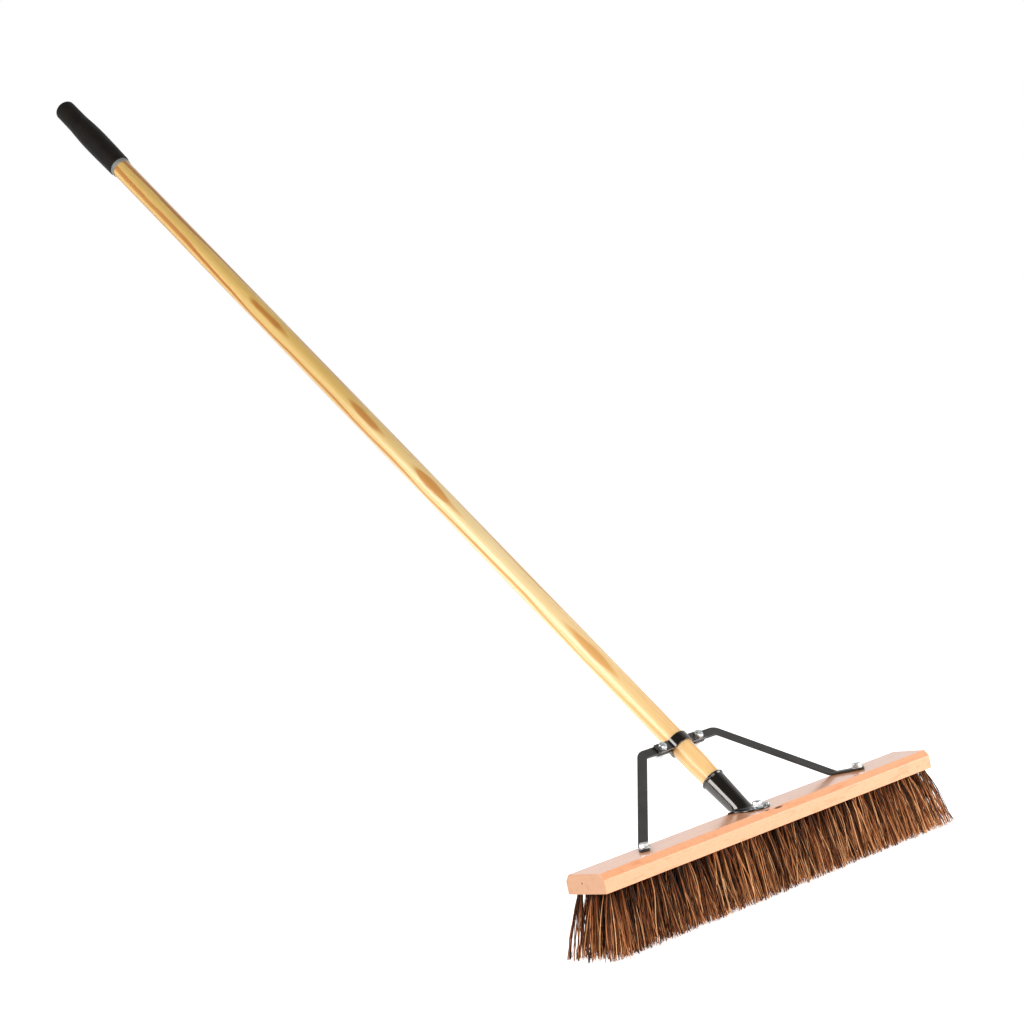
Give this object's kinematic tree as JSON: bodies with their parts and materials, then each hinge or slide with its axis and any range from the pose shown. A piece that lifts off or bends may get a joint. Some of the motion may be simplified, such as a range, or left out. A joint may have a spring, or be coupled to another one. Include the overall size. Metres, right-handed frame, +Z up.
{
  "type": "push broom",
  "caption": "Push broom: wooden block set with rows of stiff brown fibre tufts, a steel socket and two-legged brace, and a long slanting wooden handle with a rubber grip.",
  "frame": {"origin": "on the floor, at the plane of the bristle tips, under the middle of the block", "axes": "+Z up, +X along the block, the handle leans back towards +Y"},
  "size_m": [0.6382, 1.1713, 1.2344],
  "materials": {
    "block_wood": "clear satin lacquer",
    "handle_wood": "clear gloss lacquer",
    "bristle_fibre": "coarse dry plant fibre",
    "steel_wire": "bright wire",
    "gloss_black_steel": "gloss black enamel",
    "satin_black_steel": "satin black powder coat",
    "zinc_hardware": "bright zinc plate",
    "grip_rubber": "matte moulded rubber",
    "collar_plastic": "matte grey"
  },
  "bodies": {
    "brush_head": {"broom_block": "block_wood", "tuft_staples": "steel_wire", "handle_socket": "gloss_black_steel", "socket_bolt": "zinc_hardware", "socket_bolt_washer": "zinc_hardware", "socket_screw": "zinc_hardware", "clamp_front": "gloss_black_steel", "clamp_rear": "gloss_black_steel", "tuft_row_1": "bristle_fibre", "tuft_row_2": "bristle_fibre", "tuft_row_3": "bristle_fibre", "tuft_row_4": "bristle_fibre", "tuft_row_5": "bristle_fibre", "leg_left": "satin_black_steel", "foot_screw_left": "zinc_hardware", "foot_washer_left": "zinc_hardware", "clamp_bolt_left": "zinc_hardware", "clamp_washer_left": "zinc_hardware", "clamp_nut_left": "zinc_hardware", "leg_right": "satin_black_steel", "foot_screw_right": "zinc_hardware", "foot_washer_right": "zinc_hardware", "clamp_bolt_right": "zinc_hardware", "clamp_washer_right": "zinc_hardware", "clamp_nut_right": "zinc_hardware"},
    "handle_assembly": {"handle": "handle_wood", "handle_grip": "grip_rubber", "grip_collar": "collar_plastic"}
  },
  "joints": [
    {"name": "handle_withdraw", "type": "slide", "parent": "brush_head", "child": "handle_assembly", "axis": [0, 0.6978, 0.7163], "range_m": [0, 0.13]}
  ]
}
